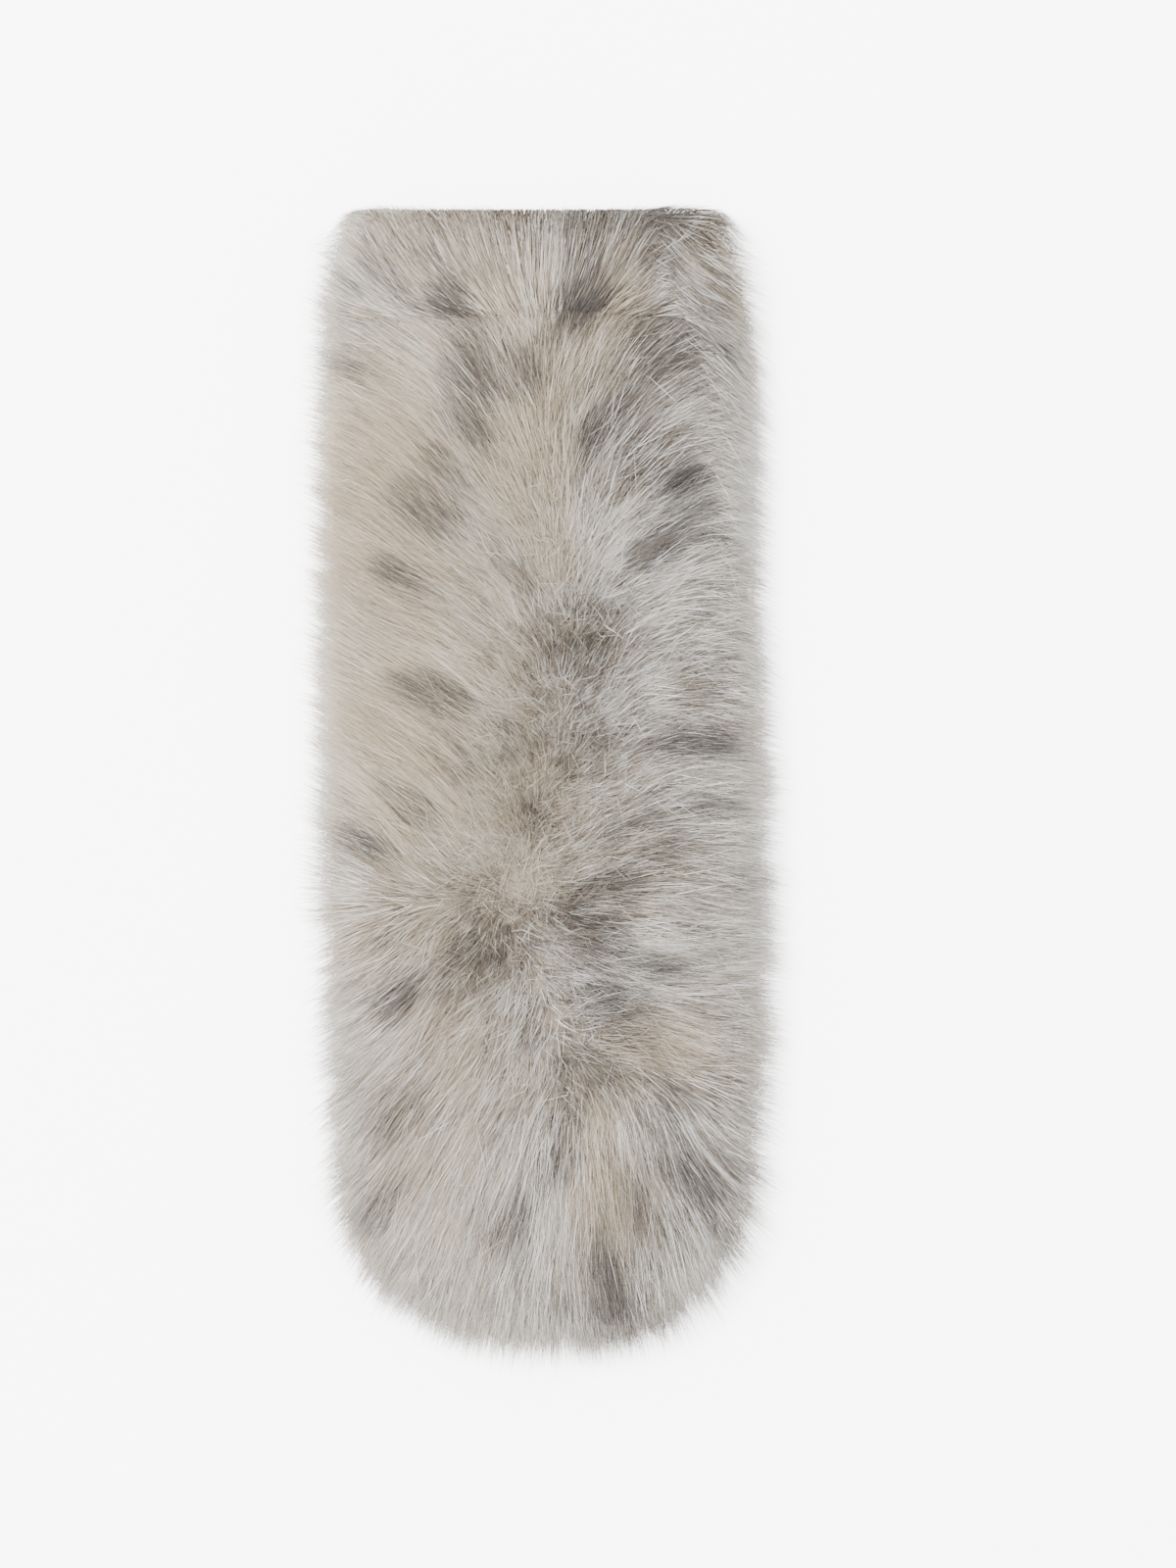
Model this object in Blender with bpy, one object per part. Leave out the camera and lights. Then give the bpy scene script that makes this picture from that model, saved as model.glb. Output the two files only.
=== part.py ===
"""Fur collar wrap: one long strip of spotted fur with round ends, folded once across its length,
fur side out, and laid flat with both free ends together.

Metres, +Z up. X runs across the wrap, +Y towards the fold, and the wrap rests on z = 0.

    hide        the strip's skin, a thin wall that turns through the fold
    pile_front  the fur on the half that lies on top
    pile_fold   the fur that wraps the fold
    pile_back   the fur of the half beneath, pressed flat where it rests
"""
import math
import random

import bmesh
import bpy
from mathutils import Vector

# Overall sizes, measured over the fur.
FOLDED_LENGTH = 0.462
HEIGHT = 0.050
FOLD_EDGE_Y = FOLDED_LENGTH / 2
FREE_END_Y = -FOLDED_LENGTH / 2

# The skin.
HIDE_WALL = 0.002
HIDE_WIDTH = 0.126
LAYER_GAP = 0.0015              # between the two layers where they lie flat
TURN_RADIUS = 0.006             # middle of the wall, round the fold
TURN_LEAD = 0.026               # length over which the layers part ahead of the fold
HIDE_END_INSET = 0.034          # from the fur's tip to the skin's free end
BACK_END_SHORTER = 0.004        # how far the lower free end stops short of the upper one

# The pile.
PRESSED_PILE = 0.012            # under the lower layer
FOLD_PILE = 0.014               # round the fold
PILE_SLOPE = 0.085              # distance from the reach at which the crown is full
CROWN_POWER = 2.4               # how square the shoulder is
SEAM_GAP = 0.0003

MID_Z = PRESSED_PILE + SEAM_GAP + HIDE_WALL + LAYER_GAP / 2
LAYER_OFFSET = (LAYER_GAP + HIDE_WALL) / 2
REACH_Z = MID_Z + 0.004
TURN_CENTRE_Y = FOLD_EDGE_Y - FOLD_PILE - TURN_RADIUS - HIDE_WALL / 2
FOLD_START_Y = TURN_CENTRE_Y - TURN_LEAD

# Plan of the fur's reach: (y, middle of the strip, half width), before the ends are rounded.
PLAN = [
    (-0.231, 0.0045, 0.0910),
    (-0.154, 0.0025, 0.0906),
    (-0.092, 0.0025, 0.0920),
    (-0.045, -0.0005, 0.0953),
    (0.002, 0.0006, 0.0935),
    (0.064, -0.0010, 0.0910),
    (0.141, -0.0015, 0.0905),
    (0.193, -0.0020, 0.0885),
    (0.231, -0.0024, 0.0820),
]
FREE_END_ROUND = (0.080, 2.2)   # length of the rounding and its superellipse power
FOLD_END_ROUND = (0.014, 3.0)
HIDE_END_ROUND = (0.055, 2.1)

# The parting that the fur falls away from: (x, y), from the fold to the free end.
PARTING = [
    (0.010, 0.141),
    (0.007, 0.091),
    (0.015, 0.050),
    (0.005, 0.009),
    (-0.013, -0.026),
    (-0.021, -0.053),
    (0.003, -0.084),
    (0.014, -0.101),
]
PARTING_SPAN = (0.200, -0.160)  # outline from here to here takes its fur from along the parting
LEFT_SWEEP = 0.024              # fur on the -X side starts this much further from the fold

# Hollows where the pile opens: (x, y, radius, depth).
HOLLOWS = [
    (0.015, 0.050, 0.015, 0.0050),
    (-0.008, 0.010, 0.012, 0.0035),
    (0.018, 0.009, 0.012, 0.0035),
    (-0.026, -0.063, 0.016, 0.0055),
    (0.017, -0.067, 0.016, 0.0050),
    (0.008, 0.190, 0.014, 0.0030),
    (0.055, 0.118, 0.013, 0.0035),
    (-0.054, 0.108, 0.014, 0.0035),
    (0.025, -0.200, 0.012, 0.0035),
]

# Locks of fur, as staggered rows of overlapping tufts.
LOCKS_AROUND = 48
POINTS_PER_LOCK = 4
LOCK_WIDTHS = (0.7, 1.3)        # widest and narrowest tufts, over the average
LOCK_PINCH = 0.010              # a tuft narrower than this has no creases left
LOCK_RISE = (0.07, 0.30)        # tufts grow to full height between these places in the fan
LOCK_ROWS = [(0.06, 0.40), (0.40, 0.72), (0.72, 1.00)]   # from the parting, 0, to the reach, 1
LOCK_RIDGE = 0.0028             # a tuft's middle over its creases
LOCK_STEP = 0.0024              # a row's ends over the row beneath
LOCK_SCALLOP = 0.0024           # how far the creases cut into the outline
FAN_RINGS = [0.07, 0.20, 0.32, 0.39, 0.44, 0.56, 0.67, 0.71, 0.76, 0.84, 0.91, 0.96, 1.00]

# Side of the pile under the reach: (height, inset on the sides, inset at the fold).
SIDE_RINGS = [
    (MID_Z, 0.0075, 0.0008),
    (0.0115, 0.0040, 0.0025),
    (0.0045, 0.0080, 0.0080),
    (0.0000, 0.0190, 0.0200),
]

OUTLINE_SAMPLES = 1440
HIDE_END_STATIONS = 14
HIDE_LEAD_STATIONS = 6
TURN_STATIONS = 12
SEED = 11


def smooth(value):
    value = min(max(value, 0.0), 1.0)
    return value * value * (3 - 2 * value)


def plan_at(y):
    """Middle and half width of the fur's reach at y, eased between the rows of PLAN."""
    for low, high in zip(PLAN, PLAN[1:]):
        if y <= high[0]:
            break
    share = smooth((y - low[0]) / (high[0] - low[0]))
    return tuple(a + (b - a) * share for a, b in zip(low[1:], high[1:]))


def end_width(distance, rounding):
    """Share of the full width at a distance in from a round end."""
    length, power = rounding
    if distance >= length:
        return 1.0
    return max(0.0, 1 - (1 - distance / length) ** power) ** (1 / power)


def reach_point(angle):
    """Point of the reach at an angle counted from the fold's middle, towards +X."""
    y = FOLD_EDGE_Y * math.cos(angle)
    middle, half = plan_at(y)
    half *= end_width(FOLD_EDGE_Y - y, FOLD_END_ROUND) * end_width(y - FREE_END_Y, FREE_END_ROUND)
    return Vector((middle + math.copysign(half, math.sin(angle)), y))


def lock_places(shuffled):
    """Shares of one side's length at the points of its tufts, which differ in width."""
    widths = [shuffled.uniform(*LOCK_WIDTHS) for _ in range(LOCKS_AROUND // 2)]
    places, travelled = [], 0.0
    for width in widths:
        places += [(travelled + width * i / POINTS_PER_LOCK) / sum(widths) for i in range(POINTS_PER_LOCK)]
        travelled += width
    return places


def lock_outline(shuffled):
    """The reach as points, POINTS_PER_LOCK to a tuft, both sides counted from the fold's middle."""
    points = []
    for start in (0.0, math.pi):
        side = [reach_point(start + math.pi * i / OUTLINE_SAMPLES) for i in range(OUTLINE_SAMPLES + 1)]
        travelled = [0.0]
        for a, b in zip(side, side[1:]):
            travelled.append(travelled[-1] + (b - a).length)
        at = 0
        for place in lock_places(shuffled):
            goal = travelled[-1] * place
            while travelled[at + 1] < goal:
                at += 1
            share = (goal - travelled[at]) / (travelled[at + 1] - travelled[at])
            points.append(side[at].lerp(side[at + 1], share))
    return points


def edge_distance(point, outline):
    """Distance from a point inside the reach to its outline."""
    best = FOLDED_LENGTH
    for a, b in zip(outline, outline[1:] + outline[:1]):
        along = b - a
        share = min(max((point - a).dot(along) / along.length_squared, 0.0), 1.0)
        best = min(best, (point - a - along * share).length)
    return best


def parting_at(y):
    """Point of the parting nearest the fold or the free end that y allows."""
    y = min(max(y, PARTING[-1][1]), PARTING[0][1])
    for high, low in zip(PARTING, PARTING[1:]):
        if y >= low[1]:
            break
    share = (y - low[1]) / (high[1] - low[1])
    return Vector((low[0] + (high[0] - low[0]) * share, y))


def fan_root(point):
    """Where on the parting the fur that ends at a point of the outline starts."""
    top, bottom = PARTING_SPAN
    share = (point.y - bottom) / (top - bottom)
    y = PARTING[-1][1] + share * (PARTING[0][1] - PARTING[-1][1])
    if point.x < 0:
        y -= LEFT_SWEEP * math.sin(math.pi * min(max(share, 0.0), 1.0))
    return parting_at(y)


def hollow_depth(point):
    return sum(depth * math.exp(-((point.x - x) ** 2 + (point.y - y) ** 2) / radius ** 2)
               for x, y, radius, depth in HOLLOWS)


def lock_shape(index, share, weights):
    """Ridge (0 in a crease to 1 on a tuft) and step (0 at a row's start to 1 at its tips)."""
    for row, (start, end) in enumerate(LOCK_ROWS):
        if share <= end:
            break
    shifted = index + row * POINTS_PER_LOCK // 2
    lock, place = divmod(shifted, POINTS_PER_LOCK)
    weight = weights[row][lock % LOCKS_AROUND]
    ridge = weight * math.sin(math.pi * place / POINTS_PER_LOCK)
    step = weight * smooth((share - start) / (end - start))
    return ridge, step


def fold_share(point):
    """1 at the fold's end, 0 along the sides and the free end."""
    return smooth((point.y - FOLD_START_Y) / TURN_LEAD)


def loft(rings, cap_top, cap_bottom):
    """One closed mesh through rings of equal length; the caps are lists of faces or None."""
    mesh = bmesh.new()
    rows = [[mesh.verts.new(point) for point in ring] for ring in rings]
    count = len(rows[0])
    for upper, lower in zip(rows, rows[1:]):
        for i in range(count):
            j = (i + 1) % count
            mesh.faces.new((upper[i], lower[i], lower[j], upper[j]))
    for row, cap in ((rows[0], cap_top), (rows[-1], cap_bottom)):
        for corners in cap or [range(count)]:
            mesh.faces.new([row[i] for i in corners])
    bmesh.ops.recalc_face_normals(mesh, faces=mesh.faces)
    return mesh


def ladder_cap(count):
    """Faces that join the two sides of a long loop, point by point."""
    faces = [(0, 1, count - 1), (count // 2 - 1, count // 2, count // 2 + 1)]
    faces += [(i, i + 1, count - i - 1, count - i) for i in range(1, count // 2 - 1)]
    return faces


def whole_pile():
    """The fur's outer form as one solid: crown, tufts, side, groove between the layers, base."""
    count = LOCKS_AROUND * POINTS_PER_LOCK
    shuffled = random.Random(SEED)
    weights = [[shuffled.uniform(0.55, 1.0) for _ in range(LOCKS_AROUND)] for _ in LOCK_ROWS]
    outline = lock_outline(shuffled)
    roots = [fan_root(point) for point in outline]

    def scalloped(i, inset):
        """Outline point i moved in by an inset, and further in a crease between tufts."""
        inward = (outline[i - 1] - outline[(i + 1) % count]).orthogonal().normalized()
        if inward.dot(roots[i] - outline[i]) < 0:
            inward.negate()
        ridge, _ = lock_shape(i, 1.0, weights)
        return outline[i] + inward * (inset + LOCK_SCALLOP * (1 - ridge))

    reach = [scalloped(i, 0.0) for i in range(count)]
    rings = []
    for share in FAN_RINGS:
        plan = [roots[i].lerp(reach[i], share) for i in range(count)]
        ring = []
        for i, point in enumerate(plan):
            width = (plan[(i + 1) % count] - plan[i - 1]).length * POINTS_PER_LOCK / 2
            ridge, step = lock_shape(i, share, weights)
            grown = smooth((share - LOCK_RISE[0]) / (LOCK_RISE[1] - LOCK_RISE[0]))
            relief = LOCK_RIDGE * (ridge - 1) * grown * smooth(width / LOCK_PINCH - 1)
            relief += LOCK_STEP * (step - 1) - hollow_depth(point)
            slope = min(edge_distance(point, outline) / PILE_SLOPE, 1.0)
            rise = math.sqrt(1 - (1 - slope) ** CROWN_POWER)
            ring.append((*point, REACH_Z + (HEIGHT - REACH_Z) * rise + relief * min(rise * 2, 1.0)))
        rings.append(ring)
    for height, side_inset, fold_inset in SIDE_RINGS:
        ring = []
        for i in range(count):
            inset = side_inset + (fold_inset - side_inset) * fold_share(outline[i])
            ring.append((*scalloped(i, inset), height))
        rings.append(ring)
    return loft(rings, ladder_cap(count), None)


def hide_stations():
    """Plan of the skin: (y, half width) from the free end to the start of the turn."""
    end = FREE_END_Y + HIDE_END_INSET
    length = HIDE_END_ROUND[0]
    rows = []
    for i in range(1, HIDE_END_STATIONS + 1):
        distance = length * (1 - math.cos(math.pi / 2 * i / HIDE_END_STATIONS))
        rows.append((end + distance, HIDE_WIDTH / 2 * end_width(distance, HIDE_END_ROUND)))
    for i in range(HIDE_LEAD_STATIONS + 1):
        rows.append((FOLD_START_Y + TURN_LEAD * i / HIDE_LEAD_STATIONS, HIDE_WIDTH / 2))
    return rows


def layer_spread(y):
    """Half the distance between the middles of the two layers at y."""
    return LAYER_OFFSET + (TURN_RADIUS - LAYER_OFFSET) * smooth((y - FOLD_START_Y) / TURN_LEAD)


def hide_mesh():
    """The skin as one wall: upper layer, the turn, lower layer."""
    path = [(y, MID_Z + layer_spread(y), half) for y, half in hide_stations()]
    for i in range(1, TURN_STATIONS):
        angle = math.pi * i / TURN_STATIONS
        path.append((TURN_CENTRE_Y + TURN_RADIUS * math.sin(angle),
                     MID_Z + TURN_RADIUS * math.cos(angle), HIDE_WIDTH / 2))
    flat_back = FOLD_START_Y - (FREE_END_Y + HIDE_END_INSET)
    for y, half in reversed(hide_stations()):
        shortened = BACK_END_SHORTER * min(max((FOLD_START_Y - y) / flat_back, 0.0), 1.0)
        path.append((y + shortened, MID_Z - layer_spread(y), half))
    rings = []
    for i, (y, z, half) in enumerate(path):
        before, after = path[max(i - 1, 0)], path[min(i + 1, len(path) - 1)]
        out = Vector((before[1] - after[1], after[0] - before[0])).normalized() * HIDE_WALL / 2
        outer, inner = (y + out.x, z + out.y), (y - out.x, z - out.y)
        rings.append([(-half, *outer), (half, *outer), (half, *inner), (-half, *inner)])
    return loft(rings, None, None)


def hide_room_mesh():
    """The space that the folded skin takes up, with the seam gap round it."""
    rows = [(FREE_END_Y + HIDE_END_INSET - SEAM_GAP, hide_stations()[0][1])] + hide_stations()
    shell = HIDE_WALL / 2 + SEAM_GAP
    sections = [(y, half + SEAM_GAP, layer_spread(y) + shell) for y, half in rows]
    for i in range(1, TURN_STATIONS):
        angle = math.pi / 2 * i / TURN_STATIONS
        radius = TURN_RADIUS + shell
        sections.append((TURN_CENTRE_Y + radius * math.sin(angle), HIDE_WIDTH / 2 + SEAM_GAP,
                         radius * math.cos(angle)))
    rings = [[(-half, y, MID_Z + spread), (half, y, MID_Z + spread),
              (half, y, MID_Z - spread), (-half, y, MID_Z - spread)] for y, half, spread in sections]
    return loft(rings, None, None)


def block_mesh(low_y, high_y, low_z, high_z):
    """A plain block wider than the wrap, for cutting."""
    wide = FOLDED_LENGTH
    corners = [(-wide, low_y), (wide, low_y), (wide, high_y), (-wide, high_y)]
    return loft([[(*corner, high_z) for corner in corners], [(*corner, low_z) for corner in corners]],
                None, None)


def fur_material(name, colour, roughness):
    material = bpy.data.materials.new(name)
    material.use_nodes = True
    shader = material.node_tree.nodes["Principled BSDF"]
    shader.inputs["Base Color"].default_value = (*colour, 1.0)
    shader.inputs["Roughness"].default_value = roughness
    shader.inputs["Metallic"].default_value = 0.0
    return material


def add_object(name, mesh, material=None):
    """Puts a mesh in the scene under a name."""
    data = bpy.data.meshes.new(name)
    mesh.to_mesh(data)
    mesh.free()
    if material:
        data.materials.append(material)
    thing = bpy.data.objects.new(name, data)
    bpy.context.collection.objects.link(thing)
    return thing


def add_cutter(name, mesh):
    cutter = add_object(name, mesh)
    cutter.hide_render = True
    cutter.display_type = "WIRE"
    return cutter


def cut(thing, operation, cutter):
    modifier = thing.modifiers.new(cutter.name, "BOOLEAN")
    modifier.operation = operation
    modifier.solver = "EXACT"
    modifier.object = cutter


def add_pile(name, region, hide_room, material):
    """The part of the whole pile inside a region, with room for the skin."""
    pile = add_object(name, whole_pile(), material)
    cut(pile, "INTERSECT", region)
    cut(pile, "DIFFERENCE", hide_room)
    return pile


def build():
    for thing in list(bpy.data.objects):
        bpy.data.objects.remove(thing, do_unlink=True)

    far = FOLDED_LENGTH
    half_gap = SEAM_GAP / 2
    stretch_end = FOLD_START_Y - half_gap
    front = add_cutter("front_region", block_mesh(-far, stretch_end, MID_Z + half_gap, far))
    back = add_cutter("back_region", block_mesh(-far, stretch_end, -far, MID_Z - half_gap))
    fold = add_cutter("fold_region", block_mesh(FOLD_START_Y + half_gap, far, -far, far))
    hide_room = add_cutter("hide_room", hide_room_mesh())

    add_object("hide", hide_mesh(), fur_material("hide_skin", (0.52, 0.44, 0.35), 0.8))
    add_pile("pile_front", front, hide_room, fur_material("fur_front", (0.46, 0.41, 0.35), 0.75))
    add_pile("pile_fold", fold, hide_room, fur_material("fur_fold", (0.47, 0.43, 0.38), 0.75))
    add_pile("pile_back", back, hide_room, fur_material("fur_back", (0.42, 0.37, 0.31), 0.8))


build()
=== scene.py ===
"""Looks of the folded fur collar wrap: hair, skin, floor, light and camera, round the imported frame.

The hair is grown on the skin as if the strip were laid out flat, in (across, along, height), where
along runs up the upper layer, over the fold and back down the lower one, and is then bent round the
fold. Each hair is a thin ribbon that narrows to its tip.
"""
import math

import bpy
import numpy as np
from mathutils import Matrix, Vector


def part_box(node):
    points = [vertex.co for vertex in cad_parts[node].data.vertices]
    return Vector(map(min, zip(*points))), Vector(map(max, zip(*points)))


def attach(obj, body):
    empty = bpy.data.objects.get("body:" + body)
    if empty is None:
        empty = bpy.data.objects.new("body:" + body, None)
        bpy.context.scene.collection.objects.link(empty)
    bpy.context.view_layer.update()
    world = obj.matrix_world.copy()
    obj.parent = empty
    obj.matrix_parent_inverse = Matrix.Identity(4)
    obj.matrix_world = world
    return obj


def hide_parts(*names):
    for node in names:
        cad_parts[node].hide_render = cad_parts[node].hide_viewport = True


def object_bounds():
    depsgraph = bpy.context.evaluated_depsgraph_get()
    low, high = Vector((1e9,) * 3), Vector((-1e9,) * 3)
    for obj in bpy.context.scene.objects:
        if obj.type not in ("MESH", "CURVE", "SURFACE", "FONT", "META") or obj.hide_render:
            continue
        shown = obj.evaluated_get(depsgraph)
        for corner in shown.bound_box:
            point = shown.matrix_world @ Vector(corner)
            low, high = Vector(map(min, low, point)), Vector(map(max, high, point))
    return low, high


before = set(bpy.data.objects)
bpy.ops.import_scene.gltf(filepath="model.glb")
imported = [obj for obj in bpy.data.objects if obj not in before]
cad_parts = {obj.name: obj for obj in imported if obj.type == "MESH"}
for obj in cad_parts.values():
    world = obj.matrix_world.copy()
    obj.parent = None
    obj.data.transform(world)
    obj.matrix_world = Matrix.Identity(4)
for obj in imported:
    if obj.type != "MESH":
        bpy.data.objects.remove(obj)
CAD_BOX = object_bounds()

SEED = 20
MM = 0.001

# The folded skin, as in part.py.
HIDE_LOW, HIDE_HIGH = (np.array(corner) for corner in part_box("hide"))
HIDE_HALF = HIDE_HIGH[0]
HIDE_WALL = 2.0 * MM
LAYER_GAP = 1.5 * MM
TURN_LEAD = 26.0 * MM           # stretch before the fold over which the layers draw apart
TURN_RADIUS = (HIDE_HIGH[2] - HIDE_LOW[2] - HIDE_WALL) / 2
MID_Z = (HIDE_HIGH[2] + HIDE_LOW[2]) / 2
TURN_Y = HIDE_HIGH[1] - TURN_RADIUS - HIDE_WALL / 2
FOLD_START = TURN_Y - TURN_LEAD
HIDE_END = HIDE_LOW[1]
HIDE_END_ROUND = (55 * MM, 2.1) # length of the rounding and its superellipse power
PATH_START, PATH_STEP = -0.300, 1 * MM      # the skin's side view starts beyond the free end
TURN_POINTS = 24                # points round the fold in that side view

# Plan of the fur's reach, as in part.py: along the strip, its middle and its half width.
PLAN_Y = np.array([-231, -154, -92, -45, 2, 64, 141, 193, 231]) * MM
PLAN_MIDDLE = np.array([4.5, 2.5, 2.5, -0.5, 0.6, -1.0, -1.5, -2.0, -2.4]) * MM
PLAN_HALF = np.array([91.0, 90.6, 92.0, 95.3, 93.5, 91.0, 90.5, 88.5, 82.0]) * MM
FREE_END = CAD_BOX[0][1]

# How the fur lies, row by row from the free end to the fold: the parting's place across the strip,
# how open it is, the way the hair points, in degrees from +X, beside the parting and at the left edge,
# and how soon it turns from one to the other; then beside the parting on the right and at the seam,
# how soon it turns, the seam's place, and the way beyond it.
LIE_COLUMNS = ("y", "parting", "open", "left_near", "left_edge", "left_curve", "right_near", "right_mid",
               "right_curve", "seam", "right_edge")
LIE = np.array([
    (-212, 8, 0, 264, 232, 0.8, 272, 290, 1.3, 70, 312),
    (-170, 8, 0, 264, 228, 0.8, 268, 302, 1.3, 70, 318),
    (-125, 8, 0.1, 262, 222, 0.7, 270, 318, 1.3, 70, 325),
    (-114, 10, 0.4, 262, 218, 0.7, 310, 338, 0.8, 70, 335),
    (-102, 10, 0.7, 262, 214, 0.7, 375, 350, 0.5, 70, 345),
    (-85, 4, 0.8, 262, 206, 0.8, 385, 356, 0.5, 70, 345),
    (-54, -12, 1, 255, 194, 1.0, 345, 352, 0.5, 75, 343),
    (-33, -8, 1, 100, 178, 1.0, 400, 350, 0.5, 74, 345),
    (-10, 0, 1, 110, 166, 0.6, 420, 353, 0.6, 75, 350),
    (14, 6, 1, 115, 160, 0.5, 415, 350, 0.6, 75, 349),
    (54, 12, 0.9, 108, 162, 0.5, 425, 358, 0.7, 72, 345),
    (94, 8, 0.6, 98, 165, 0.5, 435, 361, 0.9, 67, 335),
    (139, 4, 0.3, 92, 163, 0.5, 440, 362, 1.1, 60, 325),
    (179, 0, 0.1, 92, 162, 0.5, 440, 372, 1.2, 55, 318),
    (200, -2, 0, 92, 168, 0.6, 440, 390, 1.3, 45, 322),
    (219, -4, 0, 92, 168, 0.6, 440, 400, 1.3, 38, 340),
], float)
LEFT_EDGE = 90          # mm left of the middle at which the hair points the left edge's way
SEAM_BLEND = 10.0       # mm over which the fur turns at the seam
PARTING_BLEND = 14.0    # mm over which the two sides' fur mixes
PARTING_REACH = 22.0    # mm within which it is unruly
# How the lie wanders: degrees at most, size of the features and seed. The second kind is for one degree,
# and the numbers after it say how many degrees, everywhere and more beside the open parting.
BROAD_TURN, CLOSE_TURN = (8, 34 * MM, 1), (1, 15 * MM, 2)
CLOSE_DEGREES, UNRULY_DEGREES = 5, 30

# Places where the longest hairs reach further out: x, y, half width, half length, mm.
WISPS = [(-70, 60, 50, 170, 3), (72, -172, 34, 40, 9)]
# Places where the fur thins out early towards its reach, in the same columns with a share.
SPARSE = [(-5, -212, 66, 32, 0.7), (75, -165, 24, 30, 0.4)]

# Broad darker (or lighter) places, in the same columns. They hold the fur's own tone and also painted
# shade and painted light: the right side darker and the left rim lighter as a light from the left would
# leave them, and the top-left corner and the parting painted lighter against the shade that falls there.
TONE_AND_LIGHT_PLACES = [
    (56, 220, 30, 24, 0.75), (24, 224, 16, 14, 0.45), (42, 168, 26, 32, 0.58), (70, 186, 16, 32, 0.38),
    (50, -30, 24, 25, 0.25), (62, -92, 18, 22, 0.27), (56, -155, 22, 22, 0.50), (-18, -50, 14, 12, 0.20),
    (40, -202, 26, 16, 0.75), (-25, -152, 25, 25, -0.10), (-12, 212, 14, 14, 0.10),
    (66, 105, 12, 45, 0.15), (56, 30, 14, 16, 0.45), (70, -130, 18, 26, 0.50), (18, -50, 18, 16, 0.25),
    (-5, -205, 22, 12, -0.10), (-80, 20, 12, 150, -0.35), (-10, 20, 20, 30, -0.15),
    (14, 70, 22, 22, -0.10), (-34, 208, 18, 13, 0.50), (68, 42, 14, 34, 0.17), (40, -166, 14, 14, 0.17),
    (-52, 98, 26, 36, 0.15), (-70, 97, 14, 20, 0.12), (-14, 62, 14, 40, -0.12), (-16, -26, 16, 28, -0.16),
    (33, 128, 13, 16, 0.80), (36, 184, 12, 12, 0.18), (-80, 24, 12, 16, -0.50), (-48, -36, 18, 14, 0.26),
    (-70, 220, 14, 10, -0.20), (16, 26, 10, 14, -0.20), (-40, -98, 16, 14, 0.12), (3, -98, 14, 12, 0.12),
    (-51, 16, 12, 12, 0.14), (82, 16, 10, 20, -0.12),
]
# Warm places, in the same columns.
WARMTHS = [
    (-50, 40, 45, 130, 0.95), (-58, 118, 32, 48, 0.50), (5, 124, 34, 50, 0.55), (0, 4, 40, 50, 0.45),
    (45, -96, 16, 16, 0.6), (22, -127, 14, 26, 0.5), (24, 181, 16, 34, 0.6), (30, -42, 26, 14, 0.35),
    (-20, -76, 30, 22, 0.1), (-22, 206, 32, 26, 0.6), (-28, -150, 45, 45, 0.45), (30, -165, 30, 42, 0.35),
    (60, 200, 20, 30, 0.35),
]

# Markings: x, y, half length along the hair, half width, strength, and tone from grey 0 to brown 1.
SPOTS = np.array([
    (17, 197, 12, 7, 1.9, 0), (20, 223, 10, 6, 1.3, 0), (50, 226, 9, 11, 1.1, .4),
    (-37, 195, 9, 8, 1.35, 0), (-60, 202, 12, 3.5, .70, 0), (-78, 202, 8, 3, .70, 0),
    (-77, 166, 10, 4, .70, 0), (-29, 163, 8, 9, 1.0, .2), (-8, 163, 7, 8, .75, .2),
    (-27, 141, 7, 6, .85, 0), (45, 181, 8, 6, .75, 1), (53, 169, 8, 6, 1.15, .7),
    (38, 153, 8, 6, .35, .8), (21, 138, 8, 5.5, 1.0, 0), (57, 121, 7, 5, 1.5, 0),
    (63, 110, 7, 4, 1.2, .3), (67, 101, 9, 4, .65, 0), (45, 94, 8, 6, 1.3, .3), (-9, 83, 5, 4, .70, .3),
    (-47, 111, 13, 9, .85, .2), (-38, 124, 8, 5, .80, 0), (-56, 84, 11, 5, 1.0, .2),
    (16, 52, 9, 9, 1.2, 1), (-37, 38, 10, 5, .85, .2), (-50, 38, 9, 5, 1.0, .3), (15, 33, 9, 7, .40, 1),
    (-30, 12, 9, 8, .60, .6), (-10, 13, 6, 6, .55, 1), (14, 10, 8, 8, .85, 1), (64, 18, 14, 5, 1.15, 0),
    (72, -8, 9, 5, .80, 0), (-53, -6, 11, 5, .70, .2), (-72, -21, 12, 4, .95, 0), (-3, -8, 8, 5, .80, .3),
    (35, -15, 9, 6, .75, .6), (49, -23, 9, 5, .80, .8), (26, -39, 9, 6, 1.05, 0), (76, -36, 9, 6, .45, 0),
    (-22, -60, 10, 8, 1.0, 1), (14, -51, 9, 7, 1.0, .2), (18, -63, 9, 6, .90, 0),
    (50, -72, 10, 4, .95, 0), (27, -82, 9, 7, .95, 0), (31, -94, 8, 6, .70, .5),
    (-57, -84, 10, 6, 1.0, 0), (-35, -78, 12, 8, .12, .4), (16, -108, 10, 5, .95, 0),
    (50, -120, 9, 5, 1.0, .3), (-58, -130, 10, 6, .65, 0), (10, -130, 12, 3, .55, 0),
    (8, -145, 9, 5, .70, .1), (-66, -167, 10, 6, .70, 0), (-13, -173, 10, 7, .70, 0),
    (62, -157, 9, 6, .95, 0), (38, -166, 9, 4, .85, .6), (48, -148, 9, 5, .55, .4),
    (27, -199, 14, 6, 1.25, 0), (24, -175, 8, 4, .45, .2),
])


def rise(value):
    """Eases from 0 to 1 as value goes from 0 to 1."""
    value = np.clip(value, 0, 1)
    return value * value * (3 - 2 * value)


def mix(a, b, share):
    return a + (b - a) * share


LATTICE = 64              # cells after which the noise repeats


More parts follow.
